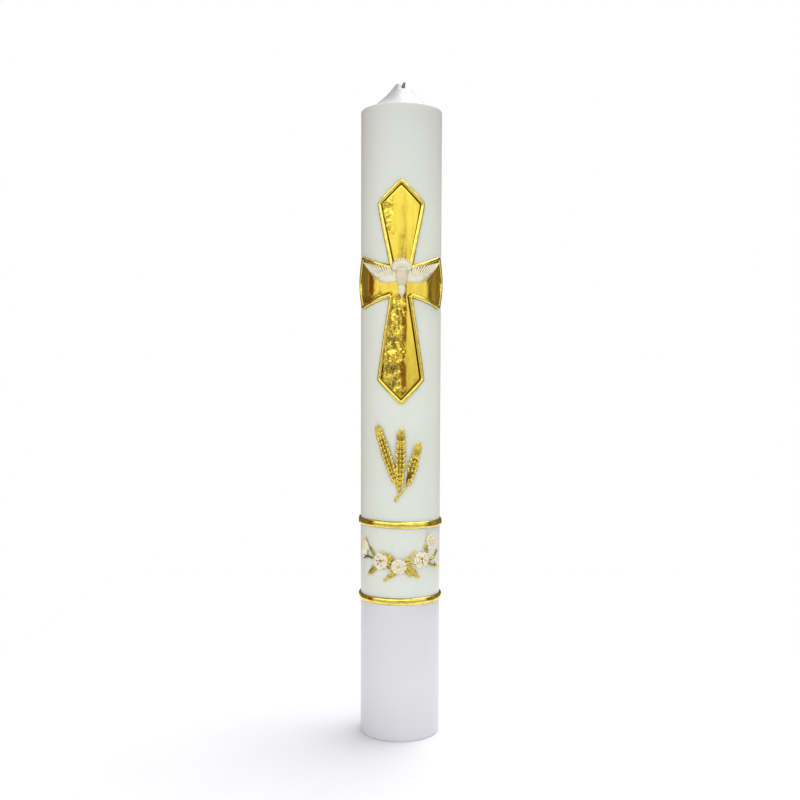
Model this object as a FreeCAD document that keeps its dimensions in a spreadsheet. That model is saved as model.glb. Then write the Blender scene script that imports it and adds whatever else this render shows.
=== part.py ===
import FreeCAD, Part
import math
import os
import Sketcher
from FreeCAD import Placement, Rotation, Vector

# A tall white pillar candle with wax ornaments. Millimetres, +Z up, origin at the middle of the foot.
# The front, which carries the ornaments, faces -Y. A place on the candle is (arc, height): arc is
# measured round the wax from the front line, growing towards +X.

SIZES = {
    # candle
    "candle_radius": 25.0,
    "core_radius": 23.6,
    "core_height": 386.0,
    "shoulder_height": 388.8,
    "dome_radius": 18.0,
    "dome_height": 391.6,
    "tip_radius": 3.2,
    "tip_height": 406.2,
    "cone_hollow": 42.0,
    "foot_round": 0.8,
    "shoulder_round": 0.6,
    "wick_radius": 1.2,
    "wick_height": 406.2,
    # gold bands
    "band_round": 2.39,
    "band_proud": 1.35,
    "band_gap": 0.35,
    "upper_band_height": 135.3,
    "lower_band_height": 87.9,
    "upper_band_tilt": 1.3,
    # cross
    "foil_thickness": 0.45,
    "border_width": 2.9,
    "border_proud": 1.1,
    "neck_arc": 7.0,
    "upper_neck_height": 292.8,
    "lower_neck_height": 273.3,
    "long_arm_arc": 15.0,
    "top_corner_height": 329.0,
    "top_point_height": 343.2,
    "bottom_corner_height": 224.0,
    "bottom_point_height": 209.7,
    "side_arm_arc": 28.6,
    "side_upper_height": 299.8,
    "side_lower_height": 266.9,
    "side_bulge": 5.6,
    # dove
    "dove_thickness": 1.3,
    "dove_middle_arc": 0.4,
    "fan_radius": 6.0,
    "fan_height": 291.2,
    "wing_span_arc": 26.2,
    "wing_tip_height": 295.7,
    "wing_root_height": 291.2,
    "body_height": 285.6,
    "body_length": 12.0,
    "body_width": 8.4,
    "body_depth": 2.4,
    "head_height": 277.6,
    "head_length": 6.4,
    "head_width": 4.2,
    "beak_height": 273.2,
    # wheat
    "ear_width": 6.0,
    "ear_depth": 1.7,
    "stem_radius": 0.75,
    # garland
    "leaf_depth": 0.75,
    "twig_radius": 0.6,
    "knuckle_radius": 0.7,
    "bud_radius": 1.0,
    "petal_depth": 1.3,
    "hub_depth": 2.2,
}

# Each ear of wheat: foot of the grains, tip of the grains, and the stem's lower end.
EARS = {
    "wheat_ear_left": ((-3.2, 163.0), (-14.4, 196.5), (-1.9, 158.8)),
    "wheat_ear_middle": ((-0.2, 159.0), (0.3, 194.3), (-0.9, 156.6)),
    "wheat_ear_right": ((1.6, 158.6), (11.5, 185.3), (-3.1, 150.1)),
}

# Each flower: its middle, how many petals, the first petal's turn, the step between two petals,
# the petals' length from the middle, and their width. Turns are in degrees from the arc direction.
FLOWERS = {
    "flower_bud_far_left": ((-25.4, 125.4), 3, -106.0, 20.0, 10.5, 3.4),
    "rose_left": ((-12.4, 112.7), 5, 90.0, 72.0, 5.6, 6.2),
    "blossom_centre": ((-0.7, 110.1), 5, 90.0, 72.0, 5.0, 5.4),
    "rose_right": ((13.4, 113.4), 5, 60.0, 72.0, 5.6, 6.2),
    "blossom_far_right": ((20.2, 125.0), 6, 90.0, 60.0, 4.6, 4.0),
}

# Each leaf: its blades, as root, tip and width.
LEAVES = {
    "leaf_far_left": [((-16.6, 115.2), (-20.8, 121.4), 2.0)],
    "leaf_low_left": [((-14.6, 109.4), (-21.9, 103.1), 3.2), ((-15.0, 109.0), (-19.0, 108.0), 1.4)],
    "leaf_upper_left": [((-4.6, 113.8), (-12.0, 118.9), 1.9), ((-3.7, 113.3), (-7.4, 117.8), 1.8)],
    "leaf_centre_left": [((-1.2, 107.4), (-8.4, 102.4), 3.2), ((-6.6, 103.2), (-10.3, 100.6), 1.5)],
    "leaf_tall": [((2.6, 111.8), (5.0, 115.4), 2.0), ((3.6, 113.4), (9.6, 119.5), 1.5)],
    "leaf_centre_right": [((2.4, 110.0), (7.6, 103.2), 3.4), ((3.4, 110.0), (10.6, 105.2), 3.2),
                          ((8.4, 105.2), (12.3, 102.3), 1.7)],
    "leaf_small_right": [((18.0, 117.4), (15.3, 122.4), 2.1)],
}

# Each sprig: its stalks, as the points they pass, and its round buds.
SPRIGS = {
    "twig_fork_left": ([[(-17.6, 114.0), (-22.8, 114.7), (-27.2, 114.9)],
                        [(-22.8, 114.7), (-26.8, 113.0)]], []),
    "sprig_beaded_left": ([[(-8.6, 114.6), (-6.2, 111.4), (-5.4, 108.6)]],
                          [(-8.0, 113.0), (-7.2, 110.4), (-6.4, 107.9)]),
    "sprig_curled_right": ([[(2.8, 110.6), (5.6, 112.5), (9.0, 111.8)]], [(5.4, 113.8)]),
    "stem_curved_right": ([[(18.3, 112.9), (22.0, 113.2), (25.4, 115.3), (28.2, 118.6)]], []),
    "twig_far_right": ([[(18.1, 111.7), (21.8, 109.2), (24.4, 108.8), (27.0, 108.4)]],
                       [(25.4, 109.8)]),
}

SINK = 0.15  # how far a flat ornament is pressed into the curve of the wax
TOUCH = 1e-6  # shared volume, in cubic millimetres, from which two pieces count as overlapping
END_STEPS = 6  # straight pieces in the bulging end of a side arm
FAN_STEPS = 8  # straight pieces round the dove's tail

doc = FreeCAD.newDocument("unity_candle")
sheet = doc.addObject("Spreadsheet::Sheet", "Sheet")
cell_rows = iter(range(1, 1000))


def add_size(name, value):
    """One named cell of the sheet."""
    row = next(cell_rows)
    sheet.set(f"A{row}", name)
    sheet.set(f"B{row}", str(value))
    sheet.setAlias(f"B{row}", name)


def size(name):
    return float(sheet.get(name))


def distance(start, end):
    return round(math.dist(start, end), 2)


def all_sizes():
    """Every cell: the general sizes, then the lengths and widths of the ornaments."""
    yield from SIZES.items()
    for label, (foot, tip, _) in EARS.items():
        yield label + "_grains_length", distance(foot, tip)
    for label, (_, count, _, _, length, width) in FLOWERS.items():
        yield label + "_petal_width", width
        for number in range(count):
            yield f"{label}_petal_{number}_length", length
    for label, blades in LEAVES.items():
        for number, (root, tip, width) in enumerate(blades):
            yield f"{label}_blade_{number}_length", distance(root, tip)
            yield f"{label}_blade_{number}_width", width


for size_name, size_value in all_sizes():
    add_size(size_name, size_value)
doc.recompute()


def primitive(kind, name, **sizes):
    """A Part primitive whose sizes are bound to expressions."""
    solid = doc.addObject(kind, name)
    for prop, expression in sizes.items():
        solid.setExpression(prop, expression)
    return solid


def cut(label, base, tool):
    result = doc.addObject("Part::Cut", label)
    result.Base = base
    result.Tool = tool
    result.Label = label
    return result


def fuse(name, shapes):
    if len(shapes) == 1:
        return shapes[0]
    result = doc.addObject("Part::MultiFuse", name)
    result.Shapes = shapes
    return result


# ---------------------------------------------------------------- places on the candle


def spot(place, lift=0.0):
    """The point at (arc, height), lift above the wax."""
    arc, height = place
    angle = arc / size("candle_radius")
    reach = size("candle_radius") + lift
    return Vector(reach * math.sin(angle), -reach * math.cos(angle), height)


def laid_at(place, turn=0.0, lift=0.0):
    """Placement with x along the arc, y up and z away from the wax, turned by turn degrees."""
    angle = math.degrees(place[0] / size("candle_radius"))
    facing = Rotation(Vector(0, 0, 1), angle).multiply(Rotation(Vector(1, 0, 0), 90))
    return Placement(spot(place, lift), facing.multiply(Rotation(Vector(0, 0, 1), turn)))


def between(start, end):
    """Middle and turn of the line from one place to another."""
    middle = ((start[0] + end[0]) / 2, (start[1] + end[1]) / 2)
    return middle, math.degrees(math.atan2(end[1] - start[1], end[0] - start[0]))


# ---------------------------------------------------------------- turned bodies


def hollow_arc(start, end, radius):
    """Arc from end back to start, anticlockwise, with its middle on the outer side of the chord."""
    chord = end - start
    outward = Vector(chord.y, -chord.x, 0).normalize()
    middle = (start + end) * 0.5 + outward * math.sqrt(radius**2 - chord.Length**2 / 4)
    first, last = (math.atan2(p.y - middle.y, p.x - middle.x) for p in (end, start))
    return Part.ArcOfCircle(Part.Circle(middle, Vector(0, 0, 1), radius), first, last)


def turned_body(label, corners, arc_after=None, arc_size=None, rounds=()):
    """A PartDesign body made by turning a closed outline round the candle's axis.

    corners are pairs of size names, radius and height, with None for zero. The side after corner
    arc_after is a hollow arc of radius arc_size. rounds are (corner, size name) to be filleted.
    """
    body = doc.addObject("PartDesign::Body", label)
    body.Label = label
    sketch = body.newObject("Sketcher::SketchObject", label + "_outline")
    plane = next(f for f in body.Origin.OriginFeatures if f.Role == "XZ_Plane")
    sketch.AttachmentSupport = [(plane, "")]
    sketch.MapMode = "FlatFace"
    points = [Vector(size(r) if r else 0, size(h) if h else 0, 0) for r, h in corners]
    count = len(points)
    ends = [(1, 2)] * count
    for i, start in enumerate(points):
        end = points[(i + 1) % count]
        if i == arc_after:
            sketch.addGeometry(hollow_arc(start, end, size(arc_size)))
            ends[i] = (2, 1)
        else:
            sketch.addGeometry(Part.LineSegment(start, end))
    for i in range(count):
        after = (i + 1) % count
        sketch.addConstraint(
            Sketcher.Constraint("Coincident", i, ends[i][1], after, ends[after][0])
        )
    for i, (radius_name, height_name) in enumerate(corners):
        for kind, name, value, axis in (
            ("DistanceX", radius_name, points[i].x, -2),
            ("DistanceY", height_name, points[i].y, -1),
        ):
            if name is None:
                sketch.addConstraint(Sketcher.Constraint("PointOnObject", i, ends[i][0], axis))
                continue
            index = sketch.addConstraint(
                Sketcher.Constraint(kind, -1, 1, i, ends[i][0], value)
            )
            sketch.setExpression(f"Constraints[{index}]", f"Sheet.{name}")
    if arc_after is not None:
        index = sketch.addConstraint(Sketcher.Constraint("Radius", arc_after, size(arc_size)))
        sketch.setExpression(f"Constraints[{index}]", f"Sheet.{arc_size}")
    turned = body.newObject("PartDesign::Revolution", label + "_turned")
    turned.Profile = sketch
    turned.ReferenceAxis = (sketch, ["V_Axis"])
    turned.Angle = 360
    doc.recompute()
    for corner, round_name in rounds:
        radius, height = points[corner].x, points[corner].y
        names = [
            f"Edge{number}"
            for number, edge in enumerate(body.Tip.Shape.Edges, 1)
            if isinstance(edge.Curve, Part.Circle)
            and abs(edge.Curve.Radius - radius) < 1e-4
            and abs(edge.Curve.Center.z - height) < 1e-4
        ]
        sharp = body.Tip
        rounded = body.newObject("PartDesign::Fillet", f"{label}_round_{corner}")
        rounded.Base = (sharp, names)
        rounded.setExpression("Radius", f"Sheet.{round_name}")
        doc.recompute()
    return body


def make_candle():
    """Pressed core, the coat it was dipped in, and the wick through both."""
    core = turned_body(
        "wax_core",
        [
            ("wick_radius", None),
            ("core_radius", None),
            ("core_radius", "core_height"),
            ("wick_radius", "core_height"),
        ],
    )
    coat = turned_body(
        "overdip_coat",
        [
            ("core_radius", None),
            ("candle_radius", None),
            ("candle_radius", "shoulder_height"),
            ("dome_radius", "dome_height"),
            ("tip_radius", "tip_height"),
            ("wick_radius", "tip_height"),
            ("wick_radius", "core_height"),
            ("core_radius", "core_height"),
        ],
        arc_after=3,
        arc_size="cone_hollow",
        rounds=[(1, "foot_round"), (2, "shoulder_round")],
    )
    cord = primitive(
        "Part::Cylinder", "wick_cord", Radius="Sheet.wick_radius", Height="Sheet.wick_height"
    )
    end = primitive("Part::Sphere", "wick_end", Radius="Sheet.wick_radius")
    end.Placement = Placement(Vector(0, 0, size("wick_height")), Rotation())
    wick = fuse("wick", [cord, end])
    wick.Label = "wick"
    return [core, coat, wick]


# ---------------------------------------------------------------- gold bands


def make_band(label, height_name, tilt=0.0):
    """Half-round wax strip wound once round the candle, with a small gap where its ends meet."""
    ring = primitive(
        "Part::Torus",
        label + "_ring",
        Radius1="Sheet.candle_radius + Sheet.band_proud - Sheet.band_round",
        Radius2="Sheet.band_round",
    )
    ring.Placement = Placement(Vector(0, 0, size(height_name)), Rotation(Vector(0, 1, 0), tilt))
    gap = primitive(
        "Part::Box",
        label + "_gap",
        Length="Sheet.band_gap",
        Width="Sheet.candle_radius",
        Height="Sheet.band_round * 4",
    )
    gap.Placement = Placement(
        Vector(-size("band_gap") / 2, size("core_radius"), size(height_name) - 2 * size("band_round")),
        Rotation(),
    )
    return cut(label, cut(label + "_wound", ring, candle_form), gap)


# ---------------------------------------------------------------- sheets wrapped on the candle


def wrapped_edges(outline, radius):
    """The sides of an outline of (arc, height) corners, drawn on a cylinder of this radius."""
    cylinder = Part.Cylinder()
    cylinder.Radius = radius
    corners = [FreeCAD.Base.Vector2d(math.pi + arc / size("candle_radius"), height) for arc, height in outline]
    following = corners[1:] + corners[:1]
    return [
        Part.Geom2d.Line2dSegment(start, end).toShape(cylinder)
        for start, end in zip(corners, following)
    ]


def wrapped_solid(levels):
    """A closed solid through outlines at rising distances from the axis: [(radius, outline)]."""
    loops = [wrapped_edges(outline, radius) for radius, outline in levels]
    faces = []
    for (radius, _), loop in ((levels[0], loops[0]), (levels[-1], loops[-1])):
        cylinder = Part.Cylinder()
        cylinder.Radius = radius
        face = Part.Face(cylinder, Part.Wire(loop))
        face.validate()
        faces.append(face)
    for lower, upper in zip(loops, loops[1:]):
        faces += [Part.makeRuledSurface(a, b) for a, b in zip(lower, upper)]
    shell = Part.makeShell(faces)
    shell.sewShape()
    solid = Part.Solid(Part.makeShell(shell.Faces))
    if solid.Volume < 0:
        solid.reverse()
    return solid


def wrapped_feature(name, levels):
    """The wrapped solid as an object of the document, its front turned to -Y."""
    feature = doc.addObject("Part::Feature", name)
    feature.Shape = wrapped_solid(levels)
    feature.Placement = Placement(Vector(), Rotation(Vector(0, 0, 1), 90))
    feature.Label = name
    return feature


def inset(outline, distance):
    """The outline moved inwards by distance, with mitred corners. The outline runs clockwise."""
    moved = []
    count = len(outline)
    for i, (x, y) in enumerate(outline):
        before, after = outline[i - 1], outline[(i + 1) % count]
        ux, uy = x - before[0], y - before[1]
        vx, vy = after[0] - x, after[1] - y
        ulen, vlen = math.hypot(ux, uy), math.hypot(vx, vy)
        nx, ny = uy / ulen + vy / vlen, -ux / ulen - vx / vlen
        scale = distance / (1 + (ux * vx + uy * vy) / (ulen * vlen))
        moved.append((x + nx * scale, y + ny * scale))
    return moved


# ---------------------------------------------------------------- cross


def side_arm_end(side):
    """Corners of a side arm from top to bottom: its end bulges away from the middle."""
    top, bottom = size("side_upper_height"), size("side_lower_height")
    points = []
    for step in range(END_STEPS + 1):
        part = step / END_STEPS
        bulge = size("side_bulge") * math.sin(math.pi * part)
        points.append((side * (size("side_arm_arc") + bulge), top + (bottom - top) * part))
    return points


def cross_outline():
    """Clockwise corners of the cross and, for each arm, where its run of corners starts and ends."""
    neck, arm = size("neck_arc"), size("long_arm_arc")
    upper, lower = size("upper_neck_height"), size("lower_neck_height")
    arms = {
        "cross_border_top": [
            (-arm, size("top_corner_height")),
            (0, size("top_point_height")),
            (arm, size("top_corner_height")),
        ],
        "cross_border_right": side_arm_end(1),
        "cross_border_bottom": [
            (arm, size("bottom_corner_height")),
            (0, size("bottom_point_height")),
            (-arm, size("bottom_corner_height")),
        ],
        "cross_border_left": side_arm_end(-1)[::-1],
    }
    necks = [(-neck, upper), (neck, upper), (neck, lower), (-neck, lower)]
    outline, runs = [], {}
    for neck_point, (name, corners) in zip(necks, arms.items()):
        runs[name] = (len(outline), len(outline) + len(corners) + 2)
        outline += [neck_point] + corners
    return outline, runs


def make_cross():
    """Foil sheet on the wax and four rounded beads along its edge, mitred at the necks."""
    outline, runs = cross_outline()
    ground = size("candle_radius")
    foil_top = ground + size("foil_thickness")
    proud, width = size("border_proud"), size("border_width")
    field = wrapped_feature("cross_field", [(ground, outline), (foil_top, outline)])
    # (part of the bead's height, part of its width cut back on each side)
    section = [(0.0, 0.0), (0.45, 0.05), (0.8, 0.16), (1.0, 0.32)]
    borders = []
    for name, (first, last) in runs.items():
        levels = []
        for rise, cut_back in section:
            outer = inset(outline, cut_back * width)
            inner = inset(outline, (1 - cut_back) * width)
            outer_run = (outer + outer)[first:last]
            inner_run = (inner + inner)[first:last]
            levels.append((foil_top + rise * proud, outer_run + inner_run[::-1]))
        borders.append(wrapped_feature(name, levels))
    return field, borders


# ---------------------------------------------------------------- dove


def dove_outline():
    """Clockwise corners of the flying dove seen from above: fan tail up, head down."""
    middle, tip = size("dove_middle_arc"), size("wing_span_arc")
    fan, fan_height, root = size("fan_radius"), size("fan_height"), size("wing_root_height")
    outline = []
    for step in range(FAN_STEPS + 1):
        angle = math.radians(180 - 180 * step / FAN_STEPS)
        outline.append((middle + fan * math.cos(angle), fan_height + fan * math.sin(angle)))
    right_wing = [
        (0.55 * tip, root + 1.2),
        (tip, size("wing_tip_height")),
        (0.95 * tip, size("wing_tip_height") - 2.4),
        (0.75 * tip, root - 3.6),
        (0.53 * tip, root - 8.0),
        (0.36 * tip, root - 8.9),
        (0.14 * tip, root - 7.8),
    ]
    neck = [(2.2, size("body_height") - 5.2)]
    side = right_wing + neck
    outline += [(middle + arc, height) for arc, height in side]
    outline += [(middle - arc, height) for arc, height in reversed(side)]
    return outline


def make_dove(borders):
    """One casting pressed over the cross: wings and tail as a wrapped sheet, body and head on it."""
    foil_top = size("candle_radius") + size("foil_thickness")
    outline = dove_outline()
    sheet_top = foil_top + size("dove_thickness")
    wings = wrapped_feature("dove_wings", [(foil_top, outline), (sheet_top, outline)])
    middle = size("dove_middle_arc")
    body = primitive(
        "Part::Ellipsoid",
        "dove_body",
        Radius1="Sheet.body_depth",
        Radius2="Sheet.body_width / 2",
        Radius3="Sheet.body_length / 2",
    )
    body.Placement = laid_at((middle, size("body_height")), lift=size("foil_thickness"))
    head = primitive(
        "Part::Ellipsoid",
        "dove_head",
        Radius1="Sheet.body_depth",
        Radius2="Sheet.head_width / 2",
        Radius3="Sheet.head_length / 2",
    )
    head.Placement = laid_at((middle, size("head_height")), lift=size("foil_thickness"))
    beak = primitive(
        "Part::Cone",
        "dove_beak",
        Radius1="Sheet.head_width / 3",
        Radius2="Sheet.head_width / 16",
        Height="Sheet.head_height - Sheet.head_length / 4 - Sheet.beak_height",
    )
    beak_root = (middle, size("head_height") - size("head_length") / 4)
    pointing_down = Rotation(Vector(1, 0, 0), 90)
    beak.Placement = laid_at(beak_root, lift=size("foil_thickness") + 0.6)
    beak.Placement = Placement(beak.Placement.Base, beak.Placement.Rotation.multiply(pointing_down))
    foil_form = primitive(
        "Part::Cylinder",
        "foil_form",
        Radius="Sheet.candle_radius + Sheet.foil_thickness",
        Height="Sheet.core_height",
    )
    lump = fuse("dove_lump", [wings, body, head, beak])
    on_foil = cut("dove_on_foil", lump, foil_form)
    return cut("dove", on_foil, fuse("dove_under", borders))


# ---------------------------------------------------------------- ornaments laid on the wax


def blade(name, start, end, width_name, depth_name):
    """A flat pointed oval from one place to another, half of it inside the candle's form."""
    middle, turn = between(start, end)
    oval = primitive(
        "Part::Ellipsoid",
        name,
        Radius1="Sheet." + depth_name,
        Radius2=f"Sheet.{name}_length / 2",
        Radius3=f"Sheet.{width_name} / 2",
    )
    oval.Placement = laid_at(middle, turn, -SINK)
    return oval


def stalk(name, start, end, radius_name):
    """A round rod from one place to another, just above the wax."""
    low, high = spot(start, SINK), spot(end, SINK)
    rod = primitive("Part::Cylinder", name, Radius="Sheet." + radius_name)
    rod.Height = low.distanceToPoint(high)
    rod.Placement = Placement(low, Rotation(Vector(0, 0, 1), high - low))
    return rod


def ball(name, place, radius_name):
    sphere = primitive("Part::Sphere", name, Radius="Sheet." + radius_name)
    sphere.Placement = Placement(spot(place, SINK), Rotation())
    return sphere


def laid_piece(label, shapes, others=()):
    """The joined shapes with the candle cut out of their back, and every piece they meet cut away."""
    piece = fuse(label + "_whole", shapes)
    on_wax = cut(label + "_on_wax", piece, candle_form)
    doc.recompute()
    met = [other for other in others if on_wax.Shape.common(other.Shape).Volume > TOUCH]
    if met:
        on_wax = cut(label, on_wax, fuse(label + "_meets", met))
        doc.recompute()
    on_wax.Label = label
    return on_wax


def make_ear(label, others=()):
    """Grains as one long oval on its stem."""
    foot, tip, stem_end = EARS[label]
    grains = blade(label + "_grains", foot, tip, "ear_width", "ear_depth")
    neck = (foot[0] + 0.1 * (tip[0] - foot[0]), foot[1] + 0.1 * (tip[1] - foot[1]))
    stem = stalk(label + "_stem", stem_end, neck, "stem_radius")
    return laid_piece(label, [grains, stem], others)


def make_flower(label):
    """Petals round a raised middle."""
    middle, count, first, step, length, _ = FLOWERS[label]
    width_name = label + "_petal_width"
    shapes = []
    for number in range(count):
        turn = math.radians(first + number * step)
        tip = (middle[0] + length * math.cos(turn), middle[1] + length * math.sin(turn))
        shapes.append(blade(f"{label}_petal_{number}", middle, tip, width_name, "petal_depth"))
    hub = primitive(
        "Part::Ellipsoid",
        label + "_hub",
        Radius1="Sheet.hub_depth",
        Radius2=f"Sheet.{width_name} / 2",
        Radius3=f"Sheet.{width_name} / 2",
    )
    hub.Placement = laid_at(middle, 0, -SINK)
    return laid_piece(label, shapes + [hub])


def make_leaf(label, others=()):
    shapes = []
    for number, (root, tip, _) in enumerate(LEAVES[label]):
        name = f"{label}_blade_{number}"
        shapes.append(blade(name, root, tip, name + "_width", "leaf_depth"))
    return laid_piece(label, shapes, others)


def make_sprig(label, others=()):
    stalks, buds = SPRIGS[label]
    shapes = []
    for number, points in enumerate(stalks):
        for step, (start, end) in enumerate(zip(points, points[1:])):
            name = f"{label}_stalk_{number}_{step}"
            shapes.append(stalk(name, start, end, "twig_radius"))
            shapes.append(ball(name + "_end", end, "knuckle_radius"))
    for number, place in enumerate(buds):
        shapes.append(ball(f"{label}_bud_{number}", place, "bud_radius"))
    return laid_piece(label, shapes, others)


# ---------------------------------------------------------------- the whole candle

candle_form = primitive(
    "Part::Cylinder", "candle_form", Radius="Sheet.candle_radius", Height="Sheet.core_height"
)

pieces = make_candle()
pieces.append(make_band("upper_band", "upper_band_height", size("upper_band_tilt")))
pieces.append(make_band("lower_band", "lower_band_height"))

cross_field, cross_borders = make_cross()
pieces += [cross_field, *cross_borders, make_dove(cross_borders)]

middle_ear = make_ear("wheat_ear_middle")
right_ear = make_ear("wheat_ear_right", others=[middle_ear])
left_ear = make_ear("wheat_ear_left", others=[middle_ear, right_ear])
pieces += [left_ear, middle_ear, right_ear]

flowers = {label: make_flower(label) for label in FLOWERS}
pieces += flowers.values()

# The flowers lie over the leaves and sprigs next to them, and some leaves over others.
laid = dict(flowers)
for label in LEAVES | SPRIGS:
    maker = make_leaf if label in LEAVES else make_sprig
    laid[label] = maker(label, others=list(laid.values()))
    pieces.append(laid[label])

doc.recompute()

for item in doc.Objects:
    if "Invalid" in item.State or "Error" in item.State:
        raise SystemExit(f"{item.Label} did not recompute: {item.State}")
for piece in pieces:
    if piece.Shape.isNull() or not piece.Shape.isValid() or not piece.Shape.Solids:
        raise SystemExit(f"{piece.Label} has no valid solid")

os.makedirs("parts", exist_ok=True)
for piece in pieces:
    piece.Shape.exportStep(os.path.join("parts", piece.Label + ".step"))
    print(f"{piece.Label}: {len(piece.Shape.Solids)} solid, {piece.Shape.Volume:.1f} mm3")
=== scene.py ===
import random
from math import ceil, cos, exp, hypot, pi, radians, sin

import bpy
from mathutils import Euler, Matrix, Vector, noise
from mathutils.geometry import delaunay_2d_cdt


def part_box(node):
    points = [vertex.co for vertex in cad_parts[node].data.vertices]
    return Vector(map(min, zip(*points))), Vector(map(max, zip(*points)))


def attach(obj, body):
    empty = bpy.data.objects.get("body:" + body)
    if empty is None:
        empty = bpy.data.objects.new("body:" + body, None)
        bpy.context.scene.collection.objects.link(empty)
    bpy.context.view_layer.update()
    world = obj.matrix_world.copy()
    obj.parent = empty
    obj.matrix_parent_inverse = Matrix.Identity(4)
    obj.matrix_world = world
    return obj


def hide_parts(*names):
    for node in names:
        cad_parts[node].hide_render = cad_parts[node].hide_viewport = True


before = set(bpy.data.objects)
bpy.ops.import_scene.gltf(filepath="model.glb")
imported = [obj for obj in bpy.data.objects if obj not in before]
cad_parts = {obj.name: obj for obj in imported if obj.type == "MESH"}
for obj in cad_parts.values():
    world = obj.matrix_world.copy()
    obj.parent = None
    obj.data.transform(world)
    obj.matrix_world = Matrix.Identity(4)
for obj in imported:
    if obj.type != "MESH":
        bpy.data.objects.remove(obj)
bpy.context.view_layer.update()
scene = bpy.context.scene

# A white pillar candle with gold and cream wax ornaments. The ornaments are drawn flat, in
# millimetres, as (arc, height, lift): arc runs round the wax from the front line towards +X, height
# is up the candle, and lift stands away from the wax. on_wax() then lays them round the candle.
# Each point also has a tone, which the materials turn into dark hollows and warmer tints: painted
# shade in hollows, under things and where parts meet, and on the petals partly their own warm
# tint. On the foil a high tone also gives creases and darker blots.

MM = 0.001
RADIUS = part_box("overdip_coat")[1].x / MM
CORE_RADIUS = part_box("wax_core")[1].x / MM
CORE_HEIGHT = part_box("wax_core")[1].z / MM
TIP_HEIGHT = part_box("overdip_coat")[1].z / MM
BORE_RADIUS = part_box("wick")[1].x / MM
WICK_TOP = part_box("wick")[1].z / MM
FOIL_LIFT = 0.45
BEAD_WIDTH = 2.45
BEAD_PROUD = 1.1
BAND_WIDTH = 4.3
BAND_PROUD = 1.35
BAND_GAP = 0.35
STRIP_FOOT = -0.2  # how far a strip reaches below the wax's surface
SEED_STEP = (17.3, -9.1, 3.7)  # keeps the noise of one seed far from another's

chance = random.Random(7)


def on_wax(arc, height, lift=0.0):
    """Where a flat point lies round the candle, in metres."""
    angle = arc / RADIUS
    reach = (RADIUS + lift) * MM
    return Vector((reach * sin(angle), -reach * cos(angle), height * MM))


def lerp(a, b, t):
    return a + (b - a) * t


def smoothstep(low, high, value):
    t = min(max((value - low) / (high - low), 0.0), 1.0)
    return t * t * (3 - 2 * t)


def wobble(seed, *where):
    """Smooth noise from -1 to 1 at up to three coordinates."""
    spot = (list(where) + [0.0, 0.0])[:3]
    return noise.noise(Vector([w + step * seed for w, step in zip(spot, SEED_STEP)]))


# ---------------- mesh building


def new_object(name, data):
    made = bpy.data.objects.new(name, data)
    scene.collection.objects.link(made)
    return made


class Relief:
    """A mesh drawn flat and laid round the candle when it is finished, unless wrap is off."""

    def __init__(self):
        self.points = []
        self.faces = []
        self.tones = []

    def add(self, points, faces, tones=None):
        base = len(self.points)
        self.points += points
        self.faces += [tuple(base + i for i in face) for face in faces]
        self.tones += tones or [0.0] * len(points)

    def finish(self, name, material, node, wrap=True):
        mesh = bpy.data.meshes.new(name)
        place = on_wax if wrap else (lambda x, y, z: Vector((x, y, z)) * MM)
        mesh.from_pydata([place(*p) for p in self.points], [], self.faces)
        mesh.attributes.new("tone", "FLOAT", "POINT").data.foreach_set("value", self.tones)
        mesh.polygons.foreach_set("use_smooth", [True] * len(mesh.polygons))
        mesh.materials.append(material)
        piece = new_object(name, mesh)
        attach(piece, "root")
        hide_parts(node)


def loop_faces(rows, across, closed=True):
    """Quads between rows of points, each row a ring if closed."""
    faces = []
    steps = across if closed else across - 1
    for row in range(rows - 1):
        for i in range(steps):
            a, b = row * across + i, row * across + (i + 1) % across
            faces.append((a, b, b + across, a + across))
    return faces


def sweep(relief, path, section, scales, tone):
    """A closed body with the section (across, up) swept along a path of flat points. There is a
    scale across and up for each, and tone(share of the path, up) is the tone."""
    path = [Vector(p) for p in path]
    last = len(path) - 1
    points, tones = [], []
    for i, (centre, (widen, raised)) in enumerate(zip(path, scales)):
        along = path[min(i + 1, last)] - path[max(i - 1, 0)]
        along.normalize()
        side = along.cross(Vector((0, 0, 1))).normalized()
        rise = side.cross(along)
        for across, up in section:
            points.append(tuple(centre + side * across * widen + rise * up * raised))
            tones.append(tone(i / last, up))
    count = len(section)
    faces = loop_faces(len(path), count)
    for ring, flip in ((0, False), (last, True)):
        centre = len(points)
        points.append(tuple(path[ring]))
        tones.append(tones[ring * count])
        for i in range(count):
            a, b = ring * count + i, ring * count + (i + 1) % count
            faces.append((a, b, centre) if flip else (b, a, centre))
    relief.add(points, faces, tones)


def groove_painted_shade_tone(t, up):
    """Painted shade: dark where a strip meets what it lies on."""
    return smoothstep(0.5, 1.15, up)


def even(level):
    """The same tone all over a sweep."""
    return lambda t, up: level


def tapered(count, end):
    """Scales for a sweep that narrows evenly from 1 to end."""
    return [(lerp(1, end, i / (count - 1)),) * 2 for i in range(count)]


def circle(radius, steps=10):
    turns = [2 * pi * i / steps for i in range(steps)]
    return [(radius * cos(a), radius * sin(a)) for a in turns]


def half_round(width, proud, foot, steps=14):
    """A rounded strip's section: a half ellipse that stands on a foot below its edges."""
    arch = [pi * i / steps for i in range(steps + 1)]
    top = [(width / 2 * cos(a), proud * sin(a) ** 0.6) for a in arch]
    return top + [(-width / 2, foot), (width / 2, foot)]


def tube(relief, path, radius, taper=0.35, steps=8, tone=0.7):
    """A round stalk that gets thinner towards its end."""
    sweep(relief, path, circle(radius, steps), tapered(len(path), taper), even(tone))


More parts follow.
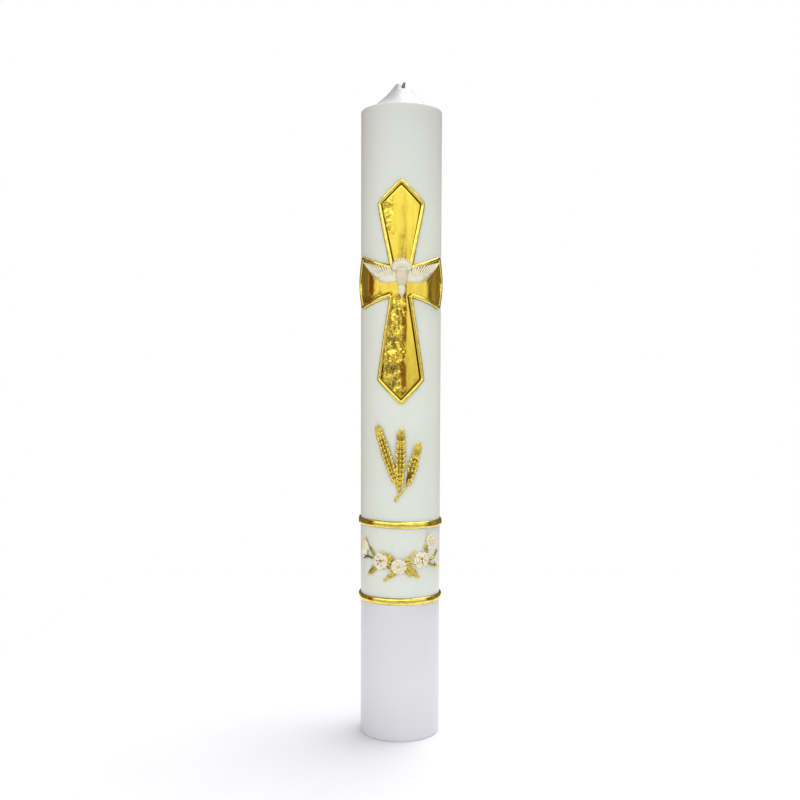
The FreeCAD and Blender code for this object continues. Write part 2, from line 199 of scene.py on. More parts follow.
def grain(relief, foot, tip, width, depth, point=0.7, rings=9, steps=10):
    """An ovoid from foot to tip, fuller near its foot and pointed at its tip. Its underside is
    toned low, as painted shade.
    """
    foot, tip = Vector(foot), Vector(tip)
    path, scales = [], []
    for i in range(rings):
        t = 0.02 + 0.96 * i / (rings - 1)
        path.append(foot.lerp(tip, t))
        swell = sin(pi * t**point) ** 0.75
        scales.append((width / 2 * swell, depth / 2 * swell))
    sweep(relief, path, circle(1.0, steps), scales, lambda t, up: smoothstep(-0.9, 0.7, up))


def curve_points(points, steps):
    """A smooth line through the points (Catmull-Rom), steps per stretch."""
    points = [Vector(p) for p in points]
    padded = [points[0] * 2 - points[1], *points, points[-1] * 2 - points[-2]]
    line = []
    for a, b, c, d in zip(padded, padded[1:], padded[2:], padded[3:]):
        for i in range(steps):
            t = i / steps
            line.append(
                0.5 * (2 * b + (c - a) * t + (2 * a - 5 * b + 4 * c - d) * t**2
                       + (3 * b - a - 3 * c + d) * t**3)
            )
    return line + [points[-1]]


def leaf(relief, root, tip, width, lift=(0.3, 0.5), arch=0.5, cup=0.0, thick=0.4, full=1.0,
         bend=0.0, rib=0.0, curl=0.0, notch=0.0, pale=0.15, rows=13, across=9):
    """A closed blade from root to tip. full moves the widest part (over 1 towards the tip), cup
    raises its sides, rib its middle, curl its tip, and notch dents the tip. pale is the tone of
    its root, and a low tone there is painted shade where the blade starts."""
    root, tip = Vector(root[:2]), Vector(tip[:2])
    way = tip - root
    side = Vector((way.y, -way.x)).normalized()
    top, bottom, tones = [], [], []
    for row in range(rows):
        t = row / (rows - 1)
        half = width / 2 * max(sin(pi * (0.03 + 0.94 * t) ** full), 0.02) ** 0.7
        for column in range(across):
            s = 2 * column / (across - 1) - 1
            reach = t - notch * (1 - abs(s)) * smoothstep(0.7, 1.0, t)
            spot = root + way * reach + side * (s * half + bend * sin(pi * t))
            edge = 1 - s**2
            height = lerp(*lift, t) + arch * sin(pi * t * 0.9)
            ridge = rib * (1 - min(abs(s) * 3, 1)) * (1 - t)
            height += cup * s**2 * sin(pi * t) + ridge
            height += curl * smoothstep(0.6, 1.0, t)
            top.append((spot.x, spot.y, height + thick * (0.25 + 0.75 * edge)))
            bottom.append((spot.x, spot.y, height - 0.1 * thick))
            tones.append(lerp(pale, 1.0, t))
    count = rows * across
    faces = loop_faces(rows, across, closed=False)
    under = [tuple(i + count for i in reversed(face)) for face in faces]
    rim = list(range(across)) + [r * across + across - 1 for r in range(1, rows)]
    rim += [(rows - 1) * across + c for c in range(across - 2, -1, -1)]
    rim += [r * across for r in range(rows - 2, 0, -1)]
    walls = [(b, a, a + count, b + count) for a, b in edges(rim)]
    relief.add(top + bottom, faces + under + walls, tones + tones)


def edges(outline):
    return zip(outline, outline[1:] + outline[:1])


def inside(x, y, outline):
    """Whether a flat point is inside a closed outline."""
    hit = False
    for (ax, ay), (bx, by) in edges(outline):
        if (ay > y) != (by > y) and x < (bx - ax) * (y - ay) / (by - ay) + ax:
            hit = not hit
    return hit


def spaced(outline, spacing):
    """The closed outline with extra points so that none are further apart than spacing."""
    points = []
    for (ax, ay), (bx, by) in edges(outline):
        parts = max(1, ceil(hypot(bx - ax, by - ay) / spacing))
        points += [(lerp(ax, bx, i / parts), lerp(ay, by, i / parts)) for i in range(parts)]
    return points


def filled(relief, outline, spacing, surface, foot):
    """A closed sheet: the outline filled with a fine mesh. surface(x, y) gives (lift, tone), and
    foot is the lift of its underside."""
    edge = spaced(outline, spacing)
    xs, ys = [p[0] for p in edge], [p[1] for p in edge]
    within = []
    rows = int((max(ys) - min(ys)) / spacing)
    columns = int((max(xs) - min(xs)) / spacing)
    for row in range(rows):
        for column in range(columns):
            x = min(xs) + (column + 0.5 + 0.5 * (row % 2)) * spacing
            y = min(ys) + (row + 0.5) * spacing
            if inside(x, y, outline):
                within.append((x, y))
    count = len(edge)
    flat = [Vector(p) for p in edge + within]
    ring = [(i, (i + 1) % count) for i in range(count)]
    flat, _, faces, *_ = delaunay_2d_cdt(flat, ring, [list(range(count))], 1, 1e-5)
    total = len(flat)
    values = [surface(p.x, p.y) for p in flat]
    points = [(p.x, p.y, lift) for p, (lift, _) in zip(flat, values)]
    points += [(p.x, p.y, foot) for p in flat]
    used = dict.fromkeys(edge for face in faces for edge in edges(list(face)))
    sides = [(b, a, a + total, b + total) for a, b in used if (b, a) not in used]
    under = [tuple(i + total for i in reversed(face)) for face in faces]
    tones = [tone for _, tone in values] * 2
    relief.add(points, [tuple(f) for f in faces] + under + sides, tones)


# ---------------- materials


def grey(level):
    return (level, level, level)


def shaded(colour, share):
    return tuple(share * c for c in colour)


def new_material(name):
    material = bpy.data.materials.new(name)
    material.use_nodes = True
    tree = material.node_tree
    return material, tree, tree.nodes["Principled BSDF"]


def plug(socket, value):
    """Sets an input to a value, or links another node's output to it."""
    if isinstance(value, bpy.types.NodeSocket):
        socket.id_data.links.new(value, socket)
    else:
        socket.default_value = value


def feed(node, **inputs):
    """The node with its inputs set, each named with _ for a space."""
    for name, value in inputs.items():
        plug(node.inputs[name.replace("_", " ")], value)
    return node


def add_node(within, kind, **inputs):
    """A new node in a tree, or in the tree that a socket is in."""
    return feed(within.id_data.nodes.new(kind), **inputs)


def texture_place(tree, squeeze=1):
    """Object coordinates in millimetres. Squeezed heights draw a texture out up the candle."""
    place = add_node(tree, "ShaderNodeTexCoord").outputs["Object"]
    scale = [s / MM for s in (1, 1, squeeze)]
    return add_node(tree, "ShaderNodeMapping", Vector=place, Scale=scale).outputs["Vector"]


def ramp(value, *stops):
    """A colour ramp through (position, colour) stops. A plain number is a grey."""
    node = add_node(value, "ShaderNodeValToRGB", Fac=value)
    elements = node.color_ramp.elements
    while len(elements) < len(stops):
        elements.new(0.5)
    for element, (position, colour) in zip(elements, stops):
        element.position = position
        element.color = (*(colour if isinstance(colour, tuple) else grey(colour)), 1)
    return node.outputs["Color"]


def noise_at(place, size, detail=4.0, rough=0.55):
    """Noise with features about size millimetres across."""
    return add_node(
        place, "ShaderNodeTexNoise", Vector=place, Scale=1 / size, Detail=detail, Roughness=rough
    ).outputs["Fac"]


def mix_colour(factor, first, second):
    node = add_node(factor, "ShaderNodeMix")
    node.data_type = "RGBA"
    plug(node.inputs[0], factor)
    for socket, colour in ((node.inputs[6], first), (node.inputs[7], second)):
        plug(socket, (*colour, 1) if isinstance(colour, tuple) else colour)
    return node.outputs[2]


def arithmetic(operation, *values):
    node = add_node(values[0], "ShaderNodeMath")
    node.operation = operation
    for socket, value in zip(node.inputs, values):
        plug(socket, value)
    return node.outputs[0]


def multiply(first, second):
    return arithmetic("MULTIPLY", first, second)


def bump(height, strength, distance, **below):
    """Bump in millimetres, on top of the normal below if one is given as Normal."""
    return add_node(height, "ShaderNodeBump", Height=height, Strength=strength,
                    Distance=distance * MM, **below).outputs["Normal"]


def tone_of(tree):
    node = add_node(tree, "ShaderNodeAttribute")
    node.attribute_name = "tone"
    return node.outputs["Fac"]


CONE_PAINTED_SHADE = (0.42, 0.42, 0.43)
SPECK_GREY = (0.70, 0.70, 0.70)
GROOVE_PAINTED_SHADE = (0.16, 0.09, 0.015)


def wax_material(name, deep, foot, wall, top, roughness):
    """Dipped candle wax: mottled and faintly streaked. Its tint goes by height: deep at the very
    foot, foot up to the lower band, wall above it, and top at the shoulder. The darker very foot,
    foot, wall up to the cross and shoulder are partly painted shade; the foot's bluish tint is the
    wax's own. The -X side of the cone is painted greyer as shade, with a soft uneven edge."""
    material, tree, shader = new_material(name)
    place = texture_place(tree)
    axes = add_node(tree, "ShaderNodeSeparateXYZ", Vector=place).outputs
    waver = arithmetic("MULTIPLY_ADD", noise_at(place, 14.0, 3.0), 3.0, axes["Z"])
    level = arithmetic("DIVIDE", waver, TIP_HEIGHT + 1.5)
    # Partly painted shade: the very foot, the foot, the wall up to the cross and the shoulder are
    # darker than the wall.
    tint = ramp(level, (0.0, deep), (0.09, foot), (0.205, foot), (0.225, shaded(wall, 0.94)),
                (0.45, shaded(wall, 0.96)), (0.52, wall), (0.80, wall), (0.955, top))
    # Painted shade: the -X side of the cone is greyed, with a soft uneven edge.
    cone = ramp(level, (0.955, 0), (0.962, 0.55), (0.975, 1))
    drift = arithmetic("MULTIPLY_ADD", noise_at(place, 5.0, 3.0), 8.0, axes["X"])
    across = arithmetic("MULTIPLY_ADD", drift, 0.05, 0.5)
    left = ramp(across, (0.62, 1), (0.92, 0))
    tint = mix_colour(multiply(cone, left), tint, CONE_PAINTED_SHADE)
    mottle = multiply(noise_at(place, 5.0, 4.0), 0.12)
    streaks = noise_at(texture_place(tree, squeeze=0.08), 2.5, 3.0)
    pores = noise_at(place, 0.7, 2.0)
    dips = bump(streaks, 0.12, 0.25)
    feed(
        shader,
        Base_Color=mix_colour(mottle, tint, SPECK_GREY),
        Roughness=ramp(pores, (0.3, roughness - 0.06), (0.7, roughness + 0.08)),
        Normal=bump(pores, 0.10, 0.06, Normal=dips),
        Subsurface_Weight=0.35,
        Subsurface_Radius=(1.0, 0.85, 0.7),
        Subsurface_Scale=2.5 * MM,
        Specular_IOR_Level=0.4,
    )
    return material


def gold_material(name, bright, dark, roughness, hollow, patch=3.0, wear=0.35, crumple=0.0):
    """Gold leaf, duller in patches and brown where tone is 0, as painted shade in hollows, under
    things and where parts meet. patch is their size, wear how dull they are and hollow how brown.
    On crumpled foil a high tone gives darker blots and creases instead, and a tone below 0 is the
    groove along the beads, painted brown there as shade."""
    material, tree, shader = new_material(name)
    place = texture_place(tree)
    tone = tone_of(tree)
    drawn = texture_place(tree, squeeze=0.22) if crumple else place
    patches = noise_at(drawn, patch, 5.0, 0.65)
    dull = tuple(lerp(b, d, wear) for b, d in zip(bright, dark))
    leaf_gold = ramp(patches, (0.32, dull), (0.55, bright))
    dents = bump(noise_at(place, 4.0, 2.0), 0.25, 0.10)
    if crumple:
        blotted = noise_at(texture_place(tree, squeeze=0.5), 3.0, 5.0, 0.65)
        blots = ramp(blotted, (0.45, 0), (0.54, 1))
        # Painted shade: dark brown in the groove along the beads.
        groove = ramp(multiply(tone, -1.0), (0.1, 0), (0.7, 1))
        leaf_gold = mix_colour(groove, leaf_gold, GROOVE_PAINTED_SHADE)
        # Darker blots where the foil is most crumpled.
        painted_shade_and_blots = multiply(multiply(tone, blots), hollow)
        painted_shade_and_blots = arithmetic("MAXIMUM", painted_shade_and_blots, 0.0)
        creases = add_node(tree, "ShaderNodeTexVoronoi")
        creases.feature = "DISTANCE_TO_EDGE"
        feed(creases, Vector=place, Scale=0.6)
        height = multiply(creases.outputs["Distance"], tone)
        dents = bump(height, crumple, 0.35, Normal=dents)
    else:
        # Painted shade: brown in hollows, under things and where parts meet, where tone is low.
        painted_shade_and_blots = multiply(ramp(tone, (0.0, 1), (0.6, 0)), hollow)
    grit = noise_at(place, 0.5, 3.0)
    feed(
        shader,
        Base_Color=mix_colour(painted_shade_and_blots, leaf_gold, dark),
        Roughness=ramp(grit, (0.3, roughness * 0.7), (0.75, roughness * 1.5)),
        Normal=bump(grit, 0.08, 0.05, Normal=dents),
        Metallic=1.0,
    )
    return material


def cream_material(name, pale, shade, tint, roughness):
    """Pearly cast wax: creamy, clouded at random with its shade colour, and tinted where tone is
    low:
    painted shade in grooves, hollows and under things, on petals partly their own warm tint.
    """
    material, tree, shader = new_material(name)
    place = texture_place(tree)
    cloud = ramp(noise_at(place, 1.6, 4.0), (0.35, shade), (0.62, pale))
    # Painted shade: the warm tint where tone is low; on petals partly their own tint.
    deep = ramp(tone_of(tree), (0.05, 1), (0.75, 0))
    fine = noise_at(place, 0.35, 3.0)
    feed(
        shader,
        Base_Color=mix_colour(multiply(deep, 0.8), cloud, tint),
        Roughness=ramp(fine, (0.3, roughness - 0.08), (0.7, roughness + 0.1)),
        Normal=bump(fine, 0.25, 0.05),
        Subsurface_Weight=0.2,
        Subsurface_Radius=(1.0, 0.8, 0.5),
        Subsurface_Scale=0.8 * MM,
        Coat_Weight=0.5,
        Coat_Roughness=0.15,
    )
    return material


def cotton_material():
    """Waxed cotton with fibres along the strands."""
    material, tree, shader = new_material("waxed_cotton")
    fibre = noise_at(texture_place(tree, squeeze=0.3), 0.25, 4.0)
    feed(
        shader,
        Base_Color=ramp(fibre, (0.35, 0.10), (0.7, (0.34, 0.33, 0.32))),
        Roughness=ramp(fibre, (0.3, 0.55), (0.7, 0.8)),
        Normal=bump(fibre, 0.5, 0.1),
    )
    return material


COAT_WAX = wax_material(
    "coat_wax", deep=(0.66, 0.66, 0.71), foot=(0.77, 0.775, 0.80), wall=(0.88, 0.935, 0.84),
    top=(0.765, 0.79, 0.78), roughness=0.34,
)
CORE_WAX = wax_material(
    "core_wax", deep=(0.80, 0.80, 0.82), foot=(0.80, 0.80, 0.82), wall=(0.80, 0.80, 0.78),
    top=grey(0.80), roughness=0.5,
)
STRIP_GOLD = gold_material(
    "strip_gold", bright=(0.98, 0.80, 0.16), dark=(0.22, 0.13, 0.02), roughness=0.11, hollow=0.95
)
FOIL_GOLD = gold_material(
    "foil_gold", bright=(0.94, 0.73, 0.095), dark=(0.15, 0.11, 0.03), roughness=0.10, hollow=0.9,
    wear=0.28, crumple=0.5,
)
CAST_GOLD = gold_material(
    "cast_gold", bright=(0.93, 0.75, 0.15), dark=(0.16, 0.10, 0.02), roughness=0.17, hollow=0.92,
    patch=1.6, wear=0.62,
)
PEARL_WAX = cream_material(
    "pearl_wax", pale=(1.0, 0.97, 0.80), shade=(0.95, 0.91, 0.68), tint=(0.50, 0.41, 0.20),
    roughness=0.26,
)
PETAL_WAX = cream_material(
    "petal_wax", pale=(0.98, 0.94, 0.72), shade=(0.90, 0.82, 0.55), tint=(0.66, 0.47, 0.26),
    roughness=0.22,
)
COTTON = cotton_material()


# ---------------- candle body

# Radius and height of the coat's outside from foot to tip.
COAT_PROFILE = [
    (24.2, 0.0), (24.7, 0.12), (24.93, 0.45), (25.0, 0.95), (25.0, 2.5), (25.0, 386.5),
    (25.0, 388.3), (24.9, 388.65), (24.6, 388.9), (23.2, 389.2), (20.8, 390.1), (18.2, 391.5),
    (16.0, 393.0), (14.1, 394.6), (11.8, 396.6), (9.6, 398.6), (7.5, 400.7), (6.0, 402.6),
    (4.8, 404.2), (3.9, 405.4), (3.2, 406.0), (2.3, 406.3),
]
BODY_STEPS = 144
WAX_ROWS = 150
BORE_DEPTH = 4.2  # from the tip of the cone to the lined part of the bore
CONE_FOOT, CONE_FULL = 391.0, 400.0
OPEN_FOOT, OPEN_TOP = 401.5, 406.0
WICK_FOOT = 0.6
WICK_LEAN = (1.6, -0.7)
PLAIT_LENGTH = 5.0
STRAND_REACH, STRAND_RADIUS = 0.5, 0.8


def coat_rows():
    """The outside profile with many rows up the plain wall, and the rows of the hidden inside."""
    rows = []
    for (ra, za), (rb, zb) in zip(COAT_PROFILE, COAT_PROFILE[1:]):
        parts = WAX_ROWS if zb - za > 50 else 2
        rows += [(lerp(ra, rb, i / parts), lerp(za, zb, i / parts)) for i in range(parts)]
    rows.append(COAT_PROFILE[-1])
    bore = [(BORE_RADIUS, TIP_HEIGHT - BORE_DEPTH), (BORE_RADIUS, CORE_HEIGHT)]
    return rows, bore + [(CORE_RADIUS, CORE_HEIGHT), (CORE_RADIUS, 0.0)]


def make_coat():
    """The dipped coat: nearly round, with the faint unevenness of dipping. Its cone is uneven, and
    lower on the front right of the wick."""
    relief = Relief()
    outer, inner = coat_rows()
    rows = outer + inner
    points = []
    for index, (radius, height) in enumerate(rows):
        outside = index < len(outer)
        cone = smoothstep(CONE_FOOT, CONE_FULL, height) if outside else 0.0
        for step in range(BODY_STEPS):
            angle = 2 * pi * step / BODY_STEPS
            x, y = cos(angle), sin(angle)
            reach, rise = radius, height
            if outside and height > 1.0:
                dip = 0.05 * wobble(1, x * 1.3, y * 1.3, height / 45)
                dip += 0.02 * wobble(2, x * 4, y * 4, height / 12)
                reach += dip * smoothstep(1.0, 12.0, height)
                reach += cone * 0.28 * wobble(3, x * 1.6, y * 1.6, height / 5)
                rise += cone * 0.25 * wobble(4, x * 2, y * 2)
                open_side = smoothstep(0.1, 0.9, 0.8 * x - 0.6 * y)
                rise -= 3.0 * open_side * smoothstep(OPEN_FOOT, OPEN_TOP, height)
            points.append((reach * x - 0.25 * cone, reach * y, rise))
    faces = loop_faces(len(rows), BODY_STEPS)
    last = (len(rows) - 1) * BODY_STEPS
    for i in range(BODY_STEPS):
        j = (i + 1) % BODY_STEPS
        faces.append((last + i, last + j, j, i))
    relief.add(points, faces)
    relief.finish("overdip_coat_dipped", COAT_WAX, "overdip_coat", wrap=False)


def sweep_up(relief, path, radius, steps=8):
    """A rod that mostly rises, with rounded ends, drawn in plain x, y, z."""
    points = []
    for i, (x, y, z) in enumerate(path):
        ending = min(i, len(path) - 1 - i)
        size = radius * (0.45, 0.8, 1.0)[min(ending, 2)]
        for turn in range(steps):
            angle = 2 * pi * turn / steps
            points.append((x + size * cos(angle), y + size * sin(angle), z))
    faces = loop_faces(len(path), steps)
    top = (len(path) - 1) * steps
    faces.append(tuple(reversed(range(steps))))
    faces.append(tuple(top + i for i in range(steps)))
    relief.add(points, faces)


def make_wick():
    """Three plaited strands up the bore, leaning out of the cone, with a short blunt end."""
    relief = Relief()
    steps = 252
    for strand in range(3):
        path = []
        for i in range(steps + 1):
            height = (WICK_TOP - 1.0) * i / steps
            turn = height / PLAIT_LENGTH * pi + strand * 2 * pi / 3
            lean = smoothstep(TIP_HEIGHT - 5.0, TIP_HEIGHT, height)
            x = WICK_LEAN[0] * lean + STRAND_REACH * cos(turn)
            y = WICK_LEAN[1] * lean + STRAND_REACH * sin(turn)
            path.append((x, y, height + WICK_FOOT))
        sweep_up(relief, path, STRAND_RADIUS)
    relief.finish("wick_plaited", COTTON, "wick", wrap=False)


# ---------------- gold bands and cross


def make_band(node, tilt):
    """Half-round strip laid by hand: it wanders a little and its ends nearly meet at the back."""
    low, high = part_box(node)
    middle = (low.z + high.z) / 2 / MM
    girth = 2 * pi * RADIUS - BAND_GAP
    steps = 220
    path, scales = [], []
    for i in range(steps + 1):
        arc = girth * (i / steps - 0.5)
        slope = -tilt * RADIUS * sin(arc / RADIUS)
        wander = 0.22 * wobble(5 + middle, arc / 14) + 0.06 * wobble(6 + middle, arc / 3)
        path.append((arc, middle + slope + wander, 0.0))
        scales.append((1 + 0.05 * wobble(7, arc / 9), 1 + 0.07 * wobble(8 + middle, arc / 5)))
    relief = Relief()
    sweep(relief, path, half_round(BAND_WIDTH, BAND_PROUD, STRIP_FOOT), scales, groove_painted_shade_tone)
    relief.finish(node + "_strip", STRIP_GOLD, node)


def rounded(points, radius, steps=6):
    """An open path with each inner corner rounded by about radius."""
    points = [Vector(p) for p in points]
    path = [points[0]]
    for before, corner, after in zip(points, points[1:], points[2:]):
        reach = min(radius, (before - corner).length / 2.2, (after - corner).length / 2.2)
        start = corner + (before - corner).normalized() * reach
        end = corner + (after - corner).normalized() * reach
        for i in range(steps + 1):
            t = i / steps
            path.append(start * (1 - t) ** 2 + corner * 2 * t * (1 - t) + end * t**2)
    return path + [points[-1]]


def refined(path, spacing):
    """A path of vectors with extra points so that none are further apart than spacing."""
    fine = []
    for a, b in zip(path, path[1:]):
        parts = max(1, ceil((b - a).length / spacing))
        fine += [a.lerp(b, i / parts) for i in range(parts)]
    return fine + [path[-1]]


# The cross's outer corners: distances from its middle line, then heights.
NECK, ARM, SIDE_ARM, BULGE = 7.0, 15.0, 28.6, 5.6
UPPER_NECK, LOWER_NECK = 292.8, 273.3
SIDE_UPPER, SIDE_LOWER = 299.8, 266.9
TOP_CORNER, TOP_POINT = 330.0, 344.6
BOTTOM_CORNER, BOTTOM_POINT = 223.8, 208.2
CORNER_ROUND, BEAD_STEP, BEAD_CROSSING = 1.1, 0.7, 1.5
FOIL_INSET, FOIL_STEP, FOIL_FOOT, FOIL_LOWEST = 0.9, 0.5, -0.1, 0.14


def arm_corners():
    """For each arm its outer corners, clockwise, from neck to neck."""

    def side(sign):
        rows = [i / 8 for i in range(9)]
        return [
            (sign * (SIDE_ARM + BULGE * sin(pi * t)), lerp(SIDE_UPPER, SIDE_LOWER, t))
            for t in rows
        ]

    return {
        "cross_border_top": [(-NECK, UPPER_NECK), (-ARM, TOP_CORNER), (0, TOP_POINT),
                             (ARM, TOP_CORNER), (NECK, UPPER_NECK)],
        "cross_border_right": [(NECK, UPPER_NECK), *side(1), (NECK, LOWER_NECK)],
        "cross_border_bottom": [(NECK, LOWER_NECK), (ARM, BOTTOM_CORNER), (0.3, BOTTOM_POINT),
                                (-ARM, BOTTOM_CORNER), (-NECK, LOWER_NECK)],
        "cross_border_left": [(-NECK, LOWER_NECK), *side(-1)[::-1], (-NECK, UPPER_NECK)],
    }


def inward(points, distance):
    """An open clockwise path moved to its inner side, with mitred corners."""
    moved = []
    for i, (x, y) in enumerate(points):
        ways = []
        if i > 0:
            ways.append((x - points[i - 1][0], y - points[i - 1][1]))
        if i < len(points) - 1:
            ways.append((points[i + 1][0] - x, points[i + 1][1] - y))
        units = [(a / hypot(a, b), b / hypot(a, b)) for a, b in ways]
        nx, ny = sum(b for _, b in units), -sum(a for a, _ in units)
        dot = 1.0 if len(units) == 1 else units[0][0] * units[1][0] + units[0][1] * units[1][1]
        scale = distance / (1 + dot) if len(units) == 2 else distance
        moved.append((x + nx * scale, y + ny * scale))
    return moved


def extended(points, reach):
    """An open path made longer by reach at both ends, so that beads cross where arms meet."""
    points = [Vector(p) for p in points]
    first = points[0] + (points[0] - points[1]).normalized() * reach
    last = points[-1] + (points[-1] - points[-2]).normalized() * reach
    return [first, *points[1:-1], last]


def make_borders():
    """A rounded bead round each arm, standing on the foil's edge."""
    section = half_round(BEAD_WIDTH, BEAD_PROUD + FOIL_LIFT, STRIP_FOOT)
    for index, (node, corners) in enumerate(arm_corners().items()):
        middle = extended(inward(corners, BEAD_WIDTH / 2), BEAD_CROSSING)
        path = refined(rounded(middle, CORNER_ROUND), BEAD_STEP)
        flat, scales = [], []
        for i, p in enumerate(path):
            flat.append((p.x + 0.05 * wobble(9 + index, i / 9), p.y, 0.0))
            wider = 0.05 * wobble(10 + index, i / 6)
            scales.append((1 + wider, 1 + 0.06 * wobble(11 + index, i / 4)))
        relief = Relief()
        sweep(relief, flat, section, scales, groove_painted_shade_tone)
        relief.finish(node + "_bead", STRIP_GOLD, node)


def crumpled(x, y):
    """How crumpled the foil is, 0 to 1: most on the left of the lower arm, less in the strip to
    the right of that and in a patch of the upper arm, and very little on the side arms."""
    edge = 2.7 + 0.6 * wobble(12, y / 5)
    lower = smoothstep(edge + 0.4, edge - 0.8, x) * smoothstep(278.0, 270.0, y)
    lower *= lerp(0.17, 1.0, smoothstep(0.6, -1.6, x + 0.9 * wobble(18, y / 4)))
    upper = smoothstep(-3.0, -7.5, x) * smoothstep(306.0, 314.0, y) * smoothstep(339.0, 330.0, y)
    side = smoothstep(14.0, 18.0, abs(x))
    side *= smoothstep(240.0, 262.0, y) * smoothstep(310.0, 304.0, y)
    return min(1.0, lower * (0.85 + 0.4 * wobble(13, x / 5, y / 7)) + 0.4 * upper + 0.06 * side)


def facet(x, y, size, seed):
    """The height of a sheet folded into flat facets about size across, each tilted its own way."""
    spot = Vector((x / size, y / (1.4 * size), seed))
    _, cells = noise.voronoi(spot)
    tilt = noise.cell_vector(cells[0] * 91.7) - Vector((0.5, 0.5, 0.5))
    offset = spot - cells[0]
    return size * (tilt.x * offset.x + tilt.y * offset.y)


def distance_to(x, y, outline):
    """From a point to the nearest edge of a closed outline."""
    nearest = 1e9
    for (ax, ay), (bx, by) in edges(outline):
        dx, dy = bx - ax, by - ay
        t = min(max(((x - ax) * dx + (y - ay) * dy) / (dx * dx + dy * dy), 0.0), 1.0)
        nearest = min(nearest, hypot(x - ax - dx * t, y - ay - dy * t))
    return nearest


def make_foil():
    """The gold foil of the cross, one sheet, pressed into a groove along its beads."""
    outline = []
    for corners in arm_corners().values():
        outline += inward(corners, FOIL_INSET)[:-1]

    def surface(x, y):
        rough = crumpled(x, y)
        lift = FOIL_LIFT
        lift += 0.05 * wobble(14, x / 9, y / 16) + 0.02 * wobble(15, x / 2.5, y / 6)
        lift += rough * (0.62 * facet(x, y, 5.6, 0.3) + 0.55 * facet(x, y, 2.8, 5.3))
        crease = exp(-((x - 1.2 - 0.1 * (y - 300)) / 0.35) ** 2)
        lift -= 0.06 * crease * smoothstep(292.0, 297.0, y) * smoothstep(324.0, 302.0, y)
        groove = smoothstep(2.7, 1.8, distance_to(x, y, outline))
        # Painted shade: the tone falls below 0 in the groove beside the beads, which the foil
        # paints dark brown.
        return max(lift - 0.25 * groove, FOIL_LOWEST), rough * (1 - groove) - groove

    relief = Relief()
    filled(relief, outline, FOIL_STEP, surface, FOIL_FOOT)
    relief.finish("cross_field_foil", FOIL_GOLD, "cross_field")


# ---------------- dove

DOVE_ARC = 0.4
# One wing's outline without its feather tips, as (distance from the dove's middle, height).
WING = [(1.5, 284.4), (3.4, 283.0), (6.5, 282.2), (9.4, 282.0), (12.0, 282.4), (14.0, 283.2),
        (17.0, 285.3), (20.0, 288.0), (23.0, 291.3), (25.2, 293.9), (26.5, 295.6), (24.6, 294.2),
        (22.0, 292.9), (18.5, 291.6), (14.5, 290.9), (10.5, 290.5), (7.0, 290.2), (1.5, 290.4)]
# Tips of the flight feathers, outermost first.
WING_TIPS = [(26.4, 295.7), (24.2, 295.3), (22.1, 294.8), (20.0, 294.3), (18.0, 293.8),
             (16.0, 293.4), (14.1, 293.0), (12.2, 292.7), (10.4, 292.4), (8.7, 292.1), (7.2, 291.8)]


def around(centre, reach, turn):
    """The flat point at a distance and an angle from a centre."""
    return (centre[0] + reach * cos(turn), centre[1] + reach * sin(turn))


def make_wing(side):
    """A smooth arm with long feathers running diagonally up and out from it. The sheet is toned low
    where the feathers lie on it, painted shade between them.
    """

    def at(arc, height):
        return (DOVE_ARC + side * arc, height)

    def surface(x, y):
        out = abs(x - DOVE_ARC)
        lower = 282.0 + 6.6 * smoothstep(10.0, 21.0, out) + 6.0 * smoothstep(19.0, 27.0, out)
        t = min(max((y - lower) / 8.5, 0.0), 1.0)
        swell = sin(pi * min(0.12 + 0.92 * t, 1.0))
        swell *= 1 - 0.55 * smoothstep(6.0, 26.0, out)
        return 0.45 + 1.2 * swell + 0.04 * wobble(19, x / 1.5, y / 1.5), lerp(-0.1, 0.9, swell)

    outline = [at(*p) for p in WING]
    if side < 0:
        outline.reverse()
    relief = Relief()
    filled(relief, outline, 0.55, surface, 0.1)
    for i, (arc, height) in enumerate(WING_TIPS):
        t = i / (len(WING_TIPS) - 1)
        root = at(arc - lerp(7.4, 1.2, t**0.8), height - lerp(7.0, 4.6, t))
        shake = 0.2 * wobble(20, i * 1.7, side)
        leaf(relief, root, at(arc, height + shake), lerp(0.95, 1.2, t),
             lift=(1.05 + 0.25 * t, 0.85 + 0.35 * t), arch=0.25, thick=1.0, full=0.9,
             bend=-side * 0.25, rows=11, across=7, pale=0.8)
    for i in range(9):
        t = i / 8
        root = at(lerp(14.6, 3.8, t), lerp(286.0, 285.4, t))
        tip = at(lerp(18.6, 5.2, t), lerp(290.0, 289.5, t))
        leaf(relief, root, tip, 1.3, lift=(1.1 + 0.2 * t, 1.2 + 0.2 * t), arch=0.1, thick=0.6,
             full=0.9, rows=9, across=7, pale=0.7)
    name = "dove_wing_right" if side > 0 else "dove_wing_left"
    relief.finish(name, PEARL_WAX, "dove")


def swollen(count, first, last, power):
    """Half a sine wave sampled count times between two of its phases."""
    return [sin(pi * lerp(first, last, i / (count - 1))) ** power for i in range(count)]


